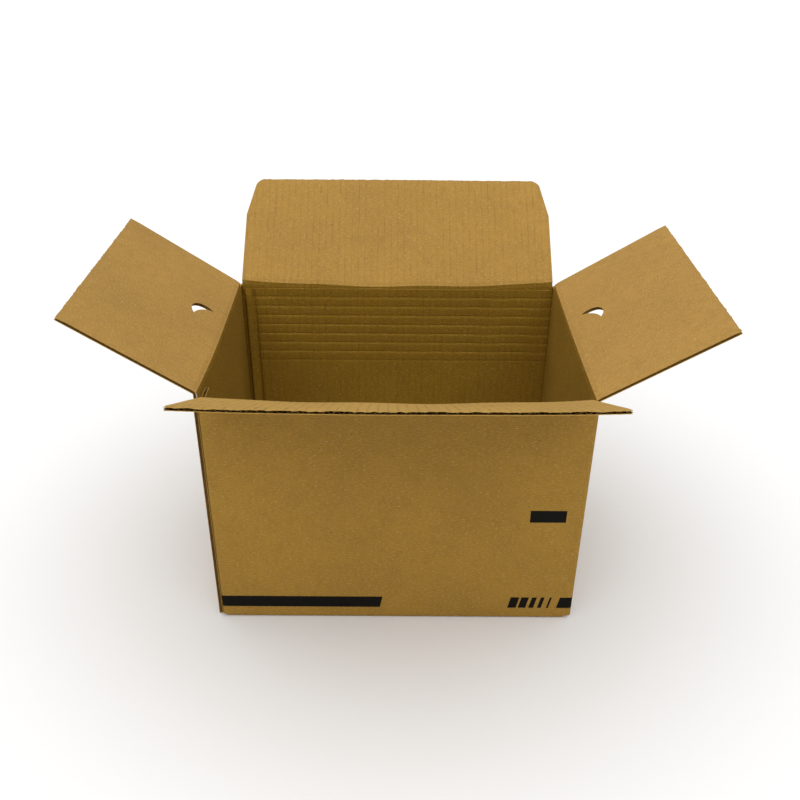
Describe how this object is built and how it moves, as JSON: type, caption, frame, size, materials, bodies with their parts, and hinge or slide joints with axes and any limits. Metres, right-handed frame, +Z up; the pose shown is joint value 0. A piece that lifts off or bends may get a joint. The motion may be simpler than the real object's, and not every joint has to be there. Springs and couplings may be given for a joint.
{
  "type": "open cardboard box",
  "caption": "Open slotted box of brown corrugated board, its top flaps raised on their folds, with crescent cuts in the side flaps and taped closed bottom flaps.",
  "frame": {"origin": "middle of the resting plane, under the closed bottom", "axes": "+Z up through the open top, +X along the long walls to the right, -Y out of the front wall"},
  "size_m": [0.503, 0.4192, 0.2969],
  "materials": {
    "kraft_board": "matte",
    "paper_tape": "satin"
  },
  "bodies": {
    "box": {"box_body": "kraft_board", "bottom_tape": "paper_tape"},
    "front_flap": {"front_flap": "kraft_board"},
    "back_flap": {"back_flap": "kraft_board"},
    "left_flap": {"left_flap": "kraft_board"},
    "right_flap": {"right_flap": "kraft_board"}
  },
  "joints": [
    {"name": "front_fold", "type": "hinge", "parent": "box", "child": "front_flap", "pos_m": [0, -0.1145, 0.2235], "axis": [-1, 0, 0], "range_deg": [-113, 152]},
    {"name": "back_fold", "type": "hinge", "parent": "box", "child": "back_flap", "pos_m": [0, 0.1145, 0.2235], "axis": [1, 0, 0], "range_deg": [-123.5, 141.5]},
    {"name": "left_fold", "type": "hinge", "parent": "box", "child": "left_flap", "pos_m": [-0.1555, 0, 0.2203], "axis": [0, 1, 0], "range_deg": [-118.5, 146.5]},
    {"name": "right_fold", "type": "hinge", "parent": "box", "child": "right_flap", "pos_m": [0.1555, 0, 0.2203], "axis": [0, -1, 0], "range_deg": [-117, 148]}
  ]
}
